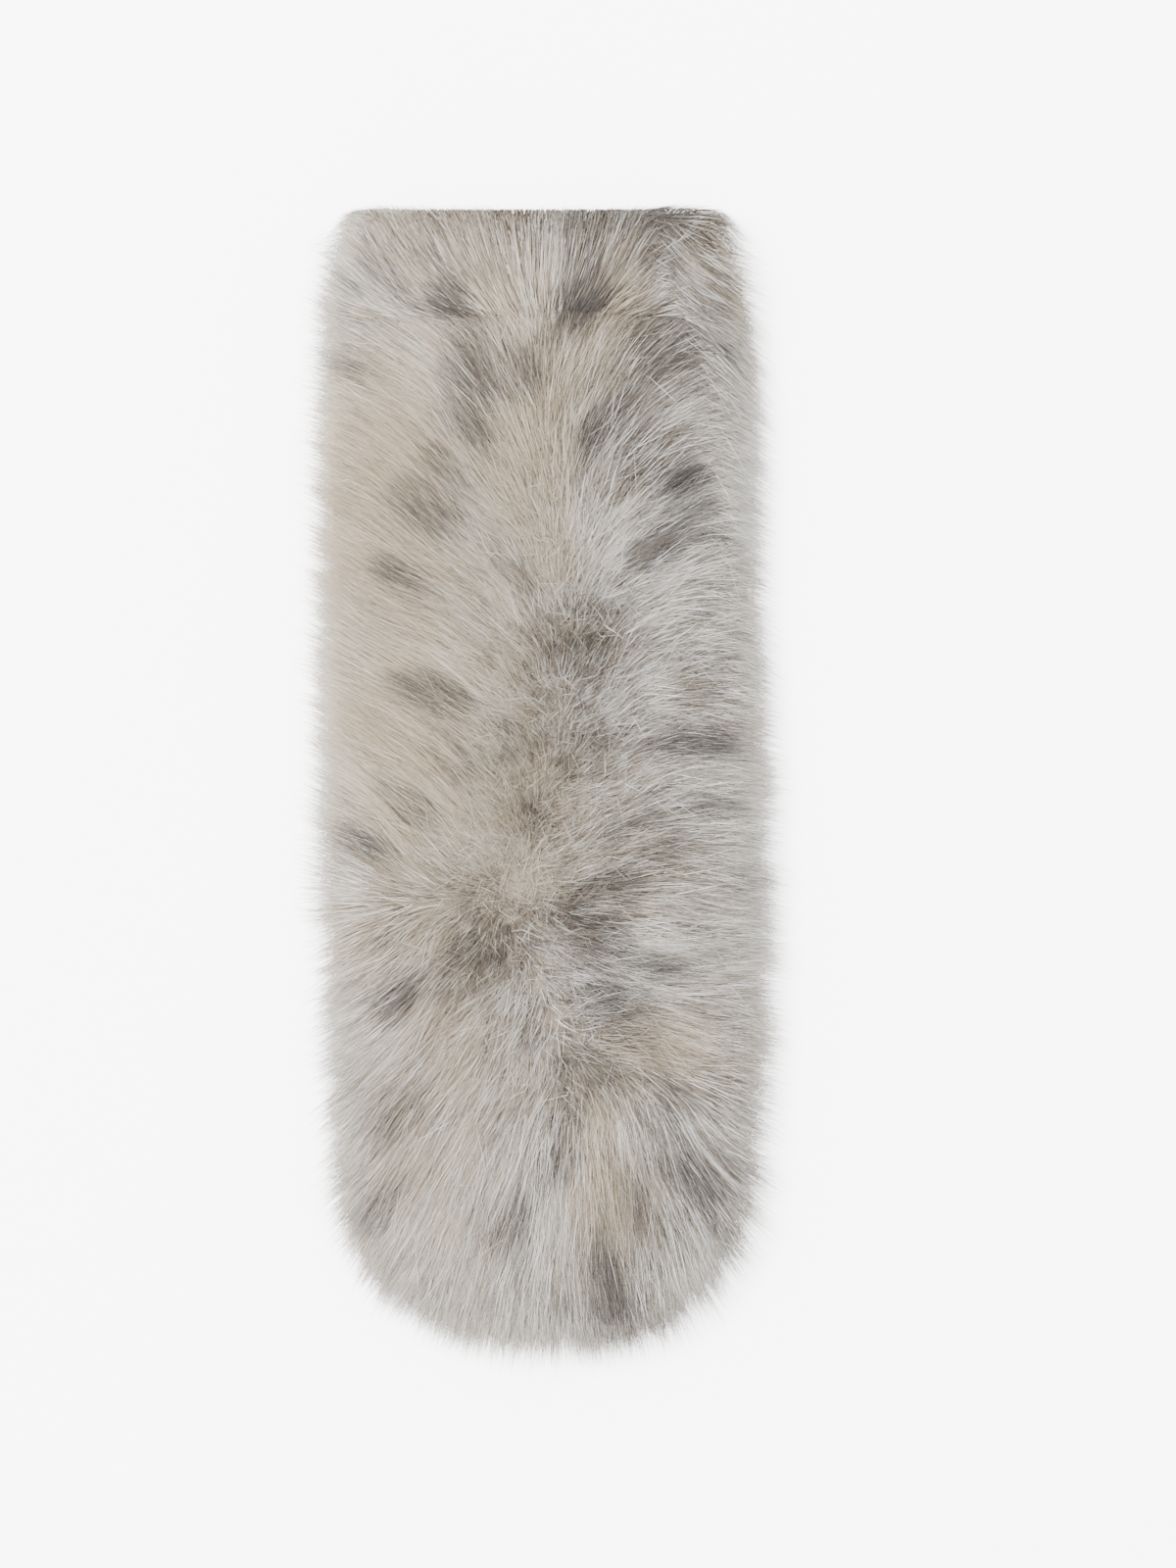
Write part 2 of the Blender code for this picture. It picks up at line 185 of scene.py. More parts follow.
def lattice(x, y, cell, seed):
    """Smooth noise from -1 to 1 over a plane, with features about cell across."""
    table = np.random.default_rng(seed).uniform(-1, 1, (LATTICE, LATTICE))
    x, y = x / cell, y / cell
    left, low = np.floor(x).astype(int), np.floor(y).astype(int)
    across, up = rise(x - left), rise(y - low)
    rows = [mix(table[left % LATTICE, row % LATTICE], table[(left + 1) % LATTICE, row % LATTICE], across)
            for row in (low, low + 1)]
    return mix(rows[0], rows[1], up)


def wander(x, y, kind):
    """Smooth noise of a kind, which says how much, how broad and with which seed."""
    most, cell, seed = kind
    return most * lattice(x, y, cell, seed)


LOCK = (3.8 * MM, 3)      # spacing and seed
WISP = (1.7 * MM, 4)
TUFT_GRID = (96, 480)     # locks or wisps after which their numbers repeat
TUFT_JITTER = 0.42        # share of the spacing by which the middle of one is off its place


def tufts(across, along, kind):
    """The lock or wisp that each hair grows in: the way to its middle, and three numbers, -1 to 1."""
    pitch, seed = kind
    table = np.random.default_rng(seed).uniform(-1, 1, (*TUFT_GRID, 5))
    column, row = np.floor(across / pitch).astype(int), np.floor(along / pitch).astype(int)
    nearest = np.full(len(across), np.inf)
    found = np.zeros((len(across), 5))
    for i in (-1, 0, 1):
        for j in (-1, 0, 1):
            own = table[(column + i) % TUFT_GRID[0], (row + j) % TUFT_GRID[1]]
            to_x = (column + i + 0.5 + TUFT_JITTER * own[:, 0]) * pitch - across
            to_y = (row + j + 0.5 + TUFT_JITTER * own[:, 1]) * pitch - along
            distance = np.hypot(to_x, to_y)
            tuft = np.stack([to_x, to_y, *own[:, 2:].T], 1)
            found = np.where((distance < nearest)[:, None], tuft, found)
            nearest = np.minimum(distance, nearest)
    return found.T


def end_width(distance, rounding):
    """Share of the full width at a distance in from a round end."""
    length, power = rounding
    inside = np.clip(1 - distance / length, 0, 1)
    return (1 - inside ** power) ** (1 / power)


def hide_half(y):
    """Half width of the skin at a place along it."""
    return HIDE_HALF * end_width(y - HIDE_END, HIDE_END_ROUND)


def lie(x, y):
    """The way the hair points at places on the upper layer, in radians from +X."""
    rows = {name: np.interp(y / MM, LIE[:, 0], LIE[:, i]) for i, name in enumerate(LIE_COLUMNS)}
    off = x / MM - rows["parting"]
    left = np.clip(-off / (LEFT_EDGE + rows["parting"]), 0, 1)
    right = np.clip(off / (rows["seam"] - rows["parting"]), 0, 1)
    left_way = np.radians(mix(rows["left_near"], rows["left_edge"], left ** rows["left_curve"]))
    right_way = mix(rows["right_near"], rows["right_mid"], right ** rows["right_curve"])
    beyond = rise((x / MM - rows["seam"]) / SEAM_BLEND + 0.5)
    right_way = np.radians(mix(right_way, rows["right_edge"], beyond))
    side = rise(off / PARTING_BLEND + 0.5)
    dx = mix(np.cos(left_way), np.cos(right_way), side)
    dy = mix(np.sin(left_way), np.sin(right_way), side)
    near = rows["open"] * np.exp(-(off / PARTING_REACH) ** 2)
    turn = wander(x, y, BROAD_TURN) + wander(x, y, CLOSE_TURN) * (CLOSE_DEGREES + UNRULY_DEGREES * near)
    return np.arctan2(dy, dx) + np.radians(turn)


def skin_path():
    """The outer face of the folded skin in side view: length along it, y, z, and its normal."""
    flat = np.arange(PATH_START, TURN_Y, PATH_STEP)
    spread = (LAYER_GAP + HIDE_WALL) / 2
    half = mix(spread, TURN_RADIUS, rise((flat - FOLD_START) / TURN_LEAD)) + HIDE_WALL / 2
    angle = np.linspace(math.pi / 2, -math.pi / 2, TURN_POINTS)
    radius = TURN_RADIUS + HIDE_WALL / 2
    y = np.concatenate([flat, TURN_Y + radius * np.cos(angle), flat[::-1]])
    z = np.concatenate([MID_Z + half, MID_Z + radius * np.sin(angle), MID_Z - half[::-1]])
    length = np.concatenate([[0], np.cumsum(np.hypot(np.diff(y), np.diff(z)))]) + flat[0]
    ty, tz = np.gradient(y, length), np.gradient(z, length)
    size = np.hypot(ty, tz)
    return length, y, z, -tz / size, ty / size


PATH = skin_path()
FOLD_MIDDLE = PATH[0][np.argmax(PATH[1])]
ROUND_FOLD = 2 * FOLD_MIDDLE        # along + its mirror place on the lower layer


def bend(across, along, height):
    """Points of the laid-out strip, in place on the folded one."""
    y, z, ny, nz = (np.interp(along, PATH[0], column) for column in PATH[1:])
    return np.stack([across, y + height * ny, z + height * nz], -1)


def strip_normal(along):
    ny, nz = (np.interp(along, PATH[0], column) for column in PATH[3:])
    return np.stack([np.zeros_like(ny), ny, nz], -1)


# The pile's height over the skin.
SKIN_TOP = MID_Z + LAYER_GAP / 2 + HIDE_WALL
REACH_RISE = MID_Z + 4 * MM - SKIN_TOP      # at the reach the upper pile ends 4 mm over the middle
CROWN = CAD_BOX[1][2] - SKIN_TOP
CROWN_SLOPE = 85 * MM           # distance from the reach at which the crown is full
CROWN_POWER = 2.4
SINK_BEYOND = 0.6               # how steeply it goes down beyond the reach
FREE_END_ROUND = (80 * MM, 2.2)
BACK_INSET = 4 * MM             # the lower half's reach stops short of the upper one's
BACK_BLEND = 20 * MM            # stretch past the fold over which it draws in
FOLD_PILE = 14 * MM
FOLD_BLEND = (40 * MM, 1.5)     # stretch before the fold over which its pile takes over, and the power
UNDER_START, UNDER_BLEND = 10 * MM, 18 * MM     # past the fold, where the pile gets pressed
FOLD_SHOULDER = 22 * MM         # distance from the reach at which the fold's pile is full
PRESSED = (np.array([-2, 0, 4, 15]) * MM, np.array([0.5, 1.5, 8.0, 11.6]) * MM)
HOLLOWS = np.array([            # across, along, radius, depth
    (15, 50, 15, 5.0), (-8, 10, 12, 3.5), (18, 9, 12, 3.5), (-26, -63, 16, 5.5), (17, -67, 16, 5.0),
    (8, 190, 14, 3.0), (55, 118, 13, 3.5), (-54, 108, 14, 3.5), (25, -200, 12, 3.5),
]) * MM


def edge_distance(across, along):
    """How far inside the fur's reach a place is, on either layer."""
    back = rise((along - FOLD_MIDDLE) / BACK_BLEND)
    y = np.where(along > FOLD_MIDDLE, ROUND_FOLD - along, along)
    middle, half = np.interp(y, PLAN_Y, PLAN_MIDDLE), np.interp(y, PLAN_Y, PLAN_HALF)
    half = half - BACK_INSET * back
    length, power = FREE_END_ROUND
    end = np.clip((FREE_END + length - y) / length, 0, None)
    return half * (1 - (end ** power + np.abs((across - middle) / half) ** power) ** (1 / power))


def shoulder(inside, width):
    """Share of the full height at a distance in from the reach."""
    return np.sqrt(1 - (1 - np.clip(inside / width, 0, 1)) ** CROWN_POWER)


def room(across, along):
    """Height of the pile's surface over the skin."""
    inside = edge_distance(across, along)
    upper = REACH_RISE + (CROWN - REACH_RISE) * shoulder(inside, CROWN_SLOPE)
    upper = upper + np.minimum(inside, 0) * SINK_BEYOND
    for x, y, radius, depth in HOLLOWS:
        upper = upper - depth * np.exp(-((across - x) ** 2 + (along - y) ** 2) / radius ** 2)
    fold = FOLD_PILE * shoulder(inside, FOLD_SHOULDER)
    lower = np.interp(inside, *PRESSED)
    past = along - FOLD_MIDDLE
    length, power = FOLD_BLEND
    height = mix(upper, fold, rise((past + length) / length) ** power)
    return mix(height, lower, rise((past - UNDER_START) / UNDER_BLEND))


# Hair over the fold and on the lower layer fans out to the sides: degrees at the skin's edge, along the
# strip and at its free end, how far past the edge they grow, and the power with which they do.
FAN_SIDES, FAN_END, FAN_LIMIT, FAN_POWER = 62, 85, 1.2, 1.4
FAN_END_REACH, FAN_END_BLEND = 60 * MM, 70 * MM     # stretch at the free end where they change
FAN_START, FAN_BLEND = 10 * MM, 16 * MM             # before the fold, where the fan takes over


def fan(across, spread):
    """The way of hair that fans out from the middle of the strip as it runs along it."""
    side = across / HIDE_HALF
    return np.radians(90 - spread * np.sign(side) * np.minimum(np.abs(side), FAN_LIMIT) ** FAN_POWER)


def way_of(across, along):
    """The way the hair points anywhere on the strip, over the fold and on the lower layer too."""
    end = rise((HIDE_END + FAN_END_REACH - (ROUND_FOLD - along)) / FAN_END_BLEND)
    fanned = mix(fan(across, FAN_SIDES), fan(across, FAN_END), end)
    way = lie(across, np.minimum(along, FOLD_MIDDLE))
    over = rise((along - (FOLD_MIDDLE - FAN_START)) / FAN_BLEND)
    return np.arctan2(mix(np.sin(way), np.sin(fanned), over), mix(np.cos(way), np.cos(fanned), over))


UPRIGHT_REACH = 46 * MM         # hair stands steeper within this distance of the parting
NORMAL_STEP = 3 * MM            # distance over which the pile's slope is taken
STEEPEST_SLOPE = 2              # no slope counts as steeper


def parting_share(across, along):
    """1 on the open parting, 0 away from it or where the fur doesn't part."""
    row = np.minimum(along, FOLD_MIDDLE) / MM
    parting, opening = (np.interp(row, LIE[:, 0], LIE[:, i]) for i in (1, 2))
    return opening * (1 - rise(np.abs(across - parting * MM) / UPRIGHT_REACH))


def pile_normal(across, along):
    """The pile's own surface normal, which turns outward towards the reach."""
    step = NORMAL_STEP
    slope_x = (room(across + step, along) - room(across - step, along)) / (2 * step)
    slope_l = (room(across, along + step) - room(across, along - step)) / (2 * step)
    up = strip_normal(along)
    ahead = np.stack([np.zeros_like(slope_l), up[..., 2], -up[..., 1]], -1)
    sideways = np.zeros_like(up)
    sideways[..., 0] = 1
    slope_x, slope_l = (np.clip(slope, -STEEPEST_SLOPE, STEEPEST_SLOPE)[..., None]
                        for slope in (slope_x, slope_l))
    return unit(up - slope_x * sideways - slope_l * ahead)


def unit(vectors):
    return vectors / np.maximum(np.linalg.norm(vectors, axis=-1, keepdims=True), 1e-12)


class Coat:
    """One kind of hair: how long, wide and lively it is, and how near it comes to the reach."""

    def __init__(self, travel, width, full, arch, yaw, ends, droop=0.0, upright=0.2, stray=0.0):
        self.travel = travel        # mm over the skin, shortest and longest
        self.width = width          # mm at its widest
        self.full = full            # share of the pile's height that it reaches, least and most
        self.arch = arch            # how soon it lies over: 1 is a straight slope
        self.yaw = yaw              # degrees that it strays from the lie
        self.ends = ends            # mm inside the reach at which it stops, most and least, and how
                                    # strongly it keeps to the first
        self.droop = droop          # mm by which a tip at the reach may hang towards the other layer
        self.upright = upright      # share of its travel that it keeps beside the parting
        self.stray = stray          # share of its hairs that cross the others, where it isn't smooth


BEND = 0.5                      # share of its travel at which a hair bends
DROOP_REACH = 14 * MM           # distance inside the reach over which the tips begin to hang
LOCK_GATHER, WISP_GATHER = 0.40, 0.55   # how far a lock's tips, and then a wisp's, draw together
LOCK_YAW, WISP_YAW = 6.0, 4.0   # degrees that they stray from the lie
FACING_SHARE = 0.42             # how far a hair is shaded as itself, and not as the pile it lies in
FACING_STEEP = 0.85             # the same where it stands beside the parting
STRAY_YAW = 5.0                 # how many times further these stray from the lie
LOCK_DIP = 0.16                 # share of the height that the lowest locks lack
SPARSE_INSET = 12               # mm by which the shortest stop sooner where the fur thins out
FOLD_FULL = 1.06                # no hair on the fold stands higher than this share of its pile
FLATTER_START, FLATTER_BLEND = 36 * MM, 24 * MM     # stretch before the fold where that sets in
STEADY_START, STEADY_BLEND = 70 * MM, 30 * MM       # the same for an even height and an early bend
FOLD_ARCH = 2.6                 # how soon hair on the fold lies over
LOCK_LIFT, WISP_LIFT = 0.6, 0.4 # how much locks and wisps count in that dip
COMMON_TURN = (5, 9 * MM, 11)   # wandering that neighbours share: degrees, size and seed
SMOOTH_STRAYS = 0.25            # share of the strays that is left where the fur lies smooth
PARTING_UNREST = 1.8            # how much more hair strays from the lie beside the parting
LEAST_TRAVEL = 0.15             # the least share of its travel that a hair at the reach keeps
PARTING_LOOSE, FOLD_LOOSE = 0.5, 0.7    # how much less locks gather beside the parting and on the fold
GATHER_POWER = 1.3              # how late along the hair they gather
LEVEL_START, LEVEL_BLEND = 8 * MM, 22 * MM      # stretch off the fold where tips begin to hang
FLOOR_CLEAR = 0.6 * MM          # no hair's middle line comes nearer the floor
MOST_ROLL = 0.9                 # radians by which a ribbon turns about its own length
TAPER = ([0, 0.25, 0.6, 1], [0.7, 1.0, 0.85, 0.0])      # along a hair, and share of its width there
STOUTEST = ([0.78, 0.88], [1.0, 1.2])   # the liveliest hairs are wider: their number, and share
WIDTH_RANGE = (0.7, 1.2)        # shares of the coat's width that its hairs have


def run_out(across, along, yaw, travel, full, arch, stops):
    """Points of hairs from their roots, in strip coordinates: (hairs, stops, 3)."""
    rows = []
    before = 0.0
    for stop in stops:
        way = way_of(across, along) + yaw
        across = across + np.cos(way) * travel * (stop - before)
        along = along + np.sin(way) * travel * (stop - before)
        over = rise((along - FOLD_MIDDLE + FLATTER_START) / FLATTER_BLEND)
        share = mix(full, np.minimum(full, FOLD_FULL), over)
        rows.append(np.stack([across, along, share * room(across, along) * (1 - (1 - stop) ** arch)], -1))
        before = stop
    return np.stack(rows, 1)


def hairs(coat, across, along, stops, rng):
    """Grows a coat from its roots up to the reach, give or take: points in strip coordinates."""
    count = len(across)
    near = parting_share(across, along)
    travel = rng.uniform(*coat.travel, count) * MM * mix(1.0, coat.upright, near)
    to_x, to_y, turn, lift, _ = tufts(across, along, LOCK)
    wisp_x, wisp_y, wisp_turn, wisp_lift, _ = tufts(across, along, WISP)
    lift = LOCK_LIFT * lift + WISP_LIFT * wisp_lift
    together = wander(across, along, COMMON_TURN) + LOCK_YAW * turn + WISP_YAW * wisp_turn
    smooth = np.clip(patches(WARMTHS, across, along), 0, 1)
    strays = rng.uniform(0, 1, count) < coat.stray * mix(1.0, SMOOTH_STRAYS, smooth)
    own = rng.normal(0, coat.yaw, count) * np.where(strays, STRAY_YAW, 1)
    yaw = np.radians(own + together) * (1 + PARTING_UNREST * near)
    over = rise((along - FOLD_MIDDLE + STEADY_START) / STEADY_BLEND)
    full = rng.uniform(*coat.full, count) * (1 - LOCK_DIP * (0.5 - 0.5 * lift) * (1 - over))
    arch = mix(rng.uniform(*coat.arch, count), FOLD_ARCH, over)
    most, least, power = coat.ends
    sparse = patches(SPARSE, across, along)
    late = rng.uniform(0, 1, count) ** (power * (1 + sparse))
    ends = mix(most + SPARSE_INSET * sparse, least - patches(WISPS, across, along), late) * MM
    points = run_out(across, along, yaw, travel, full, arch, stops)
    start, end = edge_distance(across, along), edge_distance(points[:, -1, 0], points[:, -1, 1])
    share = np.where(end < ends, (start - ends) / np.maximum(start - end, 1e-6), 1.0)
    points = run_out(across, along, yaw, travel * np.clip(share, LEAST_TRAVEL, 1), full, arch, stops)
    gather = ((1 - PARTING_LOOSE * near) * (1 - FOLD_LOOSE * over))[:, None] * stops ** GATHER_POWER
    points[..., 0] += (LOCK_GATHER * to_x + WISP_GATHER * wisp_x)[:, None] * gather
    points[..., 1] += (LOCK_GATHER * to_y + WISP_GATHER * wisp_y)[:, None] * gather
    rim = 1 - rise(edge_distance(points[..., 0], points[..., 1]) / DROOP_REACH)
    level = rise((np.abs(along - FOLD_MIDDLE) - LEVEL_START) / LEVEL_BLEND)[:, None]
    points[..., 2] -= level * rim * rng.uniform(0, coat.droop, (count, 1)) * MM * stops ** 2
    return points


def ribbons(points, width, vary, rng):
    """Corners and normals of the ribbons along hairs given in strip coordinates."""
    count, stops = points.shape[:2]
    place = bend(points[..., 0], points[..., 1], points[..., 2])
    place[..., 2] = np.maximum(place[..., 2], FLOOR_CLEAR)
    ahead = unit(np.gradient(place, axis=1))
    normal = pile_normal(points[..., 0], points[..., 1])
    side = unit(np.cross(ahead, normal))
    face = np.cross(side, ahead)
    roll = rng.uniform(-MOST_ROLL, MOST_ROLL, (count, 1, 1))
    across = side * np.cos(roll) + face * np.sin(roll)
    facing = np.cross(across, ahead)
    taper = np.interp(np.linspace(0, 1, stops), *TAPER)
    stout = np.interp(vary, *STOUTEST) * rng.uniform(*WIDTH_RANGE, count)
    half = (stout[:, None] * width * MM / 2 * taper[None, :])[..., None]
    steep = parting_share(points[:, 0, 0], points[:, 0, 1])[:, None, None]
    soft = unit(mix(normal, facing, mix(FACING_SHARE, FACING_STEEP, steep)))
    left, right = (place - across * half)[:, :-1], (place + across * half)[:, :-1]
    corners = np.concatenate([np.stack([left, right], 2).reshape(count, -1, 3), place[:, -1:]], 1)
    normals = np.concatenate([np.repeat(soft[:, :-1], 2, axis=1), soft[:, -1:]], 1)
    return corners, normals


def hair_faces(count, stops):
    """Vertex indices of each ribbon's quads and of its tip, face by face."""
    per_hair = 2 * (stops - 1) + 1
    start = np.arange(count)[:, None] * per_hair
    quads = [[2 * i, 2 * i + 1, 2 * i + 3, 2 * i + 2] for i in range(stops - 2)]
    tip = [2 * stops - 4, 2 * stops - 3, 2 * stops - 2]
    loops = start + np.array(sum(quads, []) + tip)[None, :]
    sizes = np.tile([4] * (stops - 2) + [3], count)
    return loops.ravel(), sizes


def scatter(count, low, high, rng, rim=0.0):
    """Roots spread evenly over the skin between two places along the strip, or along its rim only."""
    pitch = math.sqrt(2 * HIDE_HALF * (high - low) / count)
    across, along = np.meshgrid(np.arange(-HIDE_HALF, HIDE_HALF, pitch), np.arange(low, high, pitch))
    across = across.ravel() + rng.uniform(0, pitch, across.size)
    along = along.ravel() + rng.uniform(0, pitch, along.size)
    half = hide_half(np.where(along > FOLD_MIDDLE, ROUND_FOLD - along, along))
    keep = np.abs(across) < half
    if rim:
        keep &= (np.abs(across) > half - rim)
    order = rng.permutation(int(keep.sum()))
    return across[keep][order], along[keep][order]


SPOT_EDGE = 2.4                 # how far outwards a spot fades
MARK_STEPS = (0.04, 1.0, 13)    # places along a hair at which the markings are looked up
RAGGED = (3, 3 * MM, 15)        # how far a spot's edge wanders: mm, size and seed
RAGGED_OWN = 1.8 * MM           # and by how much each hair is off
MARKED_BY_SPOT, MARKED_BY_LOCK = 0.82, 0.3      # a spot's strength and the lock decide which are dark
MARKED_DEPTH = (0.62, 1.0)      # how dark these are, hair by hair
SPOT_DEPTH = (0.72, 0.32)       # what that is multiplied by: outside a spot, and how much more inside it
UNMARKED_DEPTH = (0.0, 0.3)     # the same for the others in a spot
STANDING_MIDDLE = 0.92          # hair beside the parting is dark at this share of its length or further
BAND_HALF, BAND_SPREAD = 0.07, 1.5      # half length of the dark band: least, and by the spot's spread
STANDING_HALF = 0.30            # the same beside the parting
MOST_MARKED = 0.93              # share of the hairs that are dark in the middle of a marking
CROSSING_PALE = 0.15            # how pale the others are there
STANDING_PAINTED_LIGHT = 0.35            # how far the hair beside the parting takes its tip's colour all along: painted light against the shade in the parting
CELL_COLUMNS = 256              # each hair has its own place on the baking map
RIM_FADE = 12 * MM              # the fur is painted paler over the last stretch before the reach, painted light for the ground's light through the thin hair there
WARM_OWN, SHADE_OWN = 0.12, 0.12        # how much each hair is off in warmth and in shade
WARM_BROAD, WARM_CLOSE = (0.25, 26 * MM, 9), (0.25, 7 * MM, 14)     # most, size of features and seed
SHADE_BROAD, SHADE_CLOSE = (0.12, 30 * MM, 7), (0.14, 13 * MM, 8)
SHADE_LOCK, SHADE_WISP = 0.34, 0.50     # how much locks and wisps differ in shade
GREY_CONTRAST, WARM_CONTRAST = 1.3, 0.6 # how strongly all that shows in grey fur and in warm fur
RIM_CALM, RIM_PAINTED_LIGHT = 0.6, 0.5   # how much less it shows at the reach, and how much paler it is painted there, as painted light
CELL_SIDES = (0.12, 0.88)       # a hair's edges in its place on the baking map
CELL_FOOT, CELL_HEIGHT = 0.06, 0.88     # where it starts there, and how much of the height it takes


def spot_field(x, y):
    """How dark and how brown the markings are at places on the upper layer."""
    dark, brown = np.zeros_like(x), np.zeros_like(x)
    for x0, y0, length, width, strength, tone in SPOTS * np.array([MM, MM, MM, MM, 1, 1]):
        way = lie(np.array([x0]), np.array([y0]))[0]
        ahead = (x - x0) * math.cos(way) + (y - y0) * math.sin(way)
        beside = (y - y0) * math.cos(way) - (x - x0) * math.sin(way)
        value = strength * np.exp(-((ahead / length) ** 2 + (beside / width) ** 2) ** 1.5 / SPOT_EDGE)
        brown = np.where(value > dark, tone, brown)
        dark = np.maximum(dark, value)
    return dark, brown


def patches(table, x, y):
    """Sum of the soft patches of a table at places on the upper layer."""
    return sum(amount * np.exp(-((x / MM - x0) / width) ** 2 - ((y / MM - y0) / length) ** 2)
               for x0, y0, width, length, amount in table)


def markings(points, stops, rng):
    """Each hair's dark band: its middle and half length as shares of the hair, depth and tone."""
    shares = np.linspace(*MARK_STEPS)
    count = len(points)
    x, y = (np.stack([np.interp(shares, stops, row) for row in points[:, :, i]]) for i in (0, 1))
    ragged = wander(points[:, 0, 0], points[:, 0, 1], RAGGED) * MM + rng.normal(0, RAGGED_OWN, count)
    way = lie(points[:, -1, 0], np.minimum(points[:, -1, 1], FOLD_MIDDLE))
    dark, brown = spot_field(x + (ragged * np.cos(way))[:, None], y + (ragged * np.sin(way))[:, None])
    total = dark.sum(1) + 1e-9
    middle = (dark * shares).sum(1) / total
    spread = np.sqrt((dark * (shares - middle[:, None]) ** 2).sum(1) / total)
    most = dark.max(1)
    lock = tufts(points[:, 0, 0], points[:, 0, 1], LOCK)[4]
    by_lock = MARKED_BY_LOCK * lock * np.minimum(most * 2, 1)
    marked = rng.uniform(0, 1, count) < np.minimum(MARKED_BY_SPOT * most + by_lock, MOST_MARKED)
    least, gain = SPOT_DEPTH
    depth = np.where(marked, rng.uniform(*MARKED_DEPTH, count) * (least + gain * most),
                     rng.uniform(*UNMARKED_DEPTH, count) * most)
    crossing = np.where(marked, 0, np.minimum(most, 1))
    steep = parting_share(points[:, 0, 0], points[:, 0, 1])
    middle = mix(middle, np.maximum(middle, STANDING_MIDDLE), steep)
    half = mix(BAND_HALF + BAND_SPREAD * spread, STANDING_HALF, steep)
    return middle, half, np.clip(depth, 0, 1), (dark * brown).sum(1) / total, crossing


def colour_layer(mesh, name, columns):
    """Stores four numbers for each corner point."""
    layer = mesh.attributes.new(name, "FLOAT_COLOR", "POINT")
    layer.data.foreach_set("color", np.stack(columns, -1).astype(np.float32).ravel())


def hair_piece(name, coat, across, along, rng, material, slot):
    """One mesh of ribbons, ready to ride."""
    stops = np.array([0, BEND, 1])
    points = hairs(coat, across, along, stops, rng)
    vary = rng.uniform(0, 1, len(across))
    corners, normals = ribbons(points, coat.width, vary, rng)
    count = len(points)
    loops, sizes = hair_faces(count, len(stops))
    mesh = bpy.data.meshes.new(name)
    mesh.vertices.add(corners.shape[0] * corners.shape[1])
    mesh.vertices.foreach_set("co", corners.astype(np.float32).ravel())
    mesh.loops.add(len(loops))
    mesh.loops.foreach_set("vertex_index", loops.astype(np.int32))
    mesh.polygons.add(len(sizes))
    mesh.polygons.foreach_set("loop_start", np.concatenate([[0], np.cumsum(sizes)[:-1]]).astype(np.int32))
    mesh.update(calc_edges=True)
    mesh.validate()
    mesh.normals_split_custom_set_from_vertices(normals.reshape(-1, 3))

    def each(values):
        return np.repeat(values, corners.shape[1])

    share = np.tile(np.append(np.repeat(stops[:-1], 2), 1.0), count)
    # Painted light: hair beside the parting is painted paler down towards its root, against the shade in
    # the parting.
    paler = mix(share, 1, STANDING_PAINTED_LIGHT * each(parting_share(across, along)))
    middle, half, dark, brown, crossing = markings(points, stops, rng)
    if slot == "fur_back":
        dark, crossing = 0 * dark, 0 * crossing
    x, y = points[:, -2, 0], np.minimum(points[:, -2, 1], FOLD_MIDDLE)
    warm = patches(WARMTHS, x, y) + wander(x, y, WARM_BROAD) + rng.normal(0, WARM_OWN, count)
    warm += wander(across, along, WARM_CLOSE)
    tone_and_light = wander(x, y, SHADE_BROAD) + wander(x, y, SHADE_CLOSE) + rng.normal(0, SHADE_OWN, count)
    tone_and_light += SHADE_LOCK * tufts(across, along, LOCK)[4] + SHADE_WISP * tufts(across, along, WISP)[4]
    contrast = mix(GREY_CONTRAST, WARM_CONTRAST, np.clip(warm, 0, 1))
    # The broad places add the fur's own darker and lighter tone, and with it painted shade and painted
    # light.
    tone_and_light = patches(TONE_AND_LIGHT_PLACES, x, y) + tone_and_light * contrast - CROSSING_PALE * crossing
    # Painted light: near the reach the hair is painted paler, against the shade on the rim's sloping
    # sides and for the ground's light through the thin hair.
    rim = 1 - rise(edge_distance(points[:, -1, 0], points[:, -1, 1]) / RIM_FADE)
    tone_and_light = 0.5 + 0.5 * (tone_and_light * (1 - RIM_CALM * rim) - RIM_PAINTED_LIGHT * rim)
    colour_layer(mesh, "hair", [paler, each(vary), each(brown), each(warm)])
    colour_layer(mesh, "band", [each(middle), each(half), each(dark), each(np.clip(tone_and_light, 0, 1))])

    row, column = np.divmod(np.arange(count), CELL_COLUMNS)
    side = np.append(np.tile(CELL_SIDES, len(stops) - 1), 0.5)
    u = (column[:, None] + side) / CELL_COLUMNS
    v = (row[:, None] + CELL_FOOT + CELL_HEIGHT * share.reshape(count, -1)) / (row[-1] + 1)
    bake_map = mesh.uv_layers.new(name="OFBake")
    bake_map.data.foreach_set("uv", np.stack([u, v], -1).reshape(-1, 2)[loops].astype(np.float32).ravel())
    mesh.materials.append(material)
    thing = bpy.data.objects.new(name, mesh)
    bpy.context.collection.objects.link(thing)
    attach(thing, "root")
    return thing


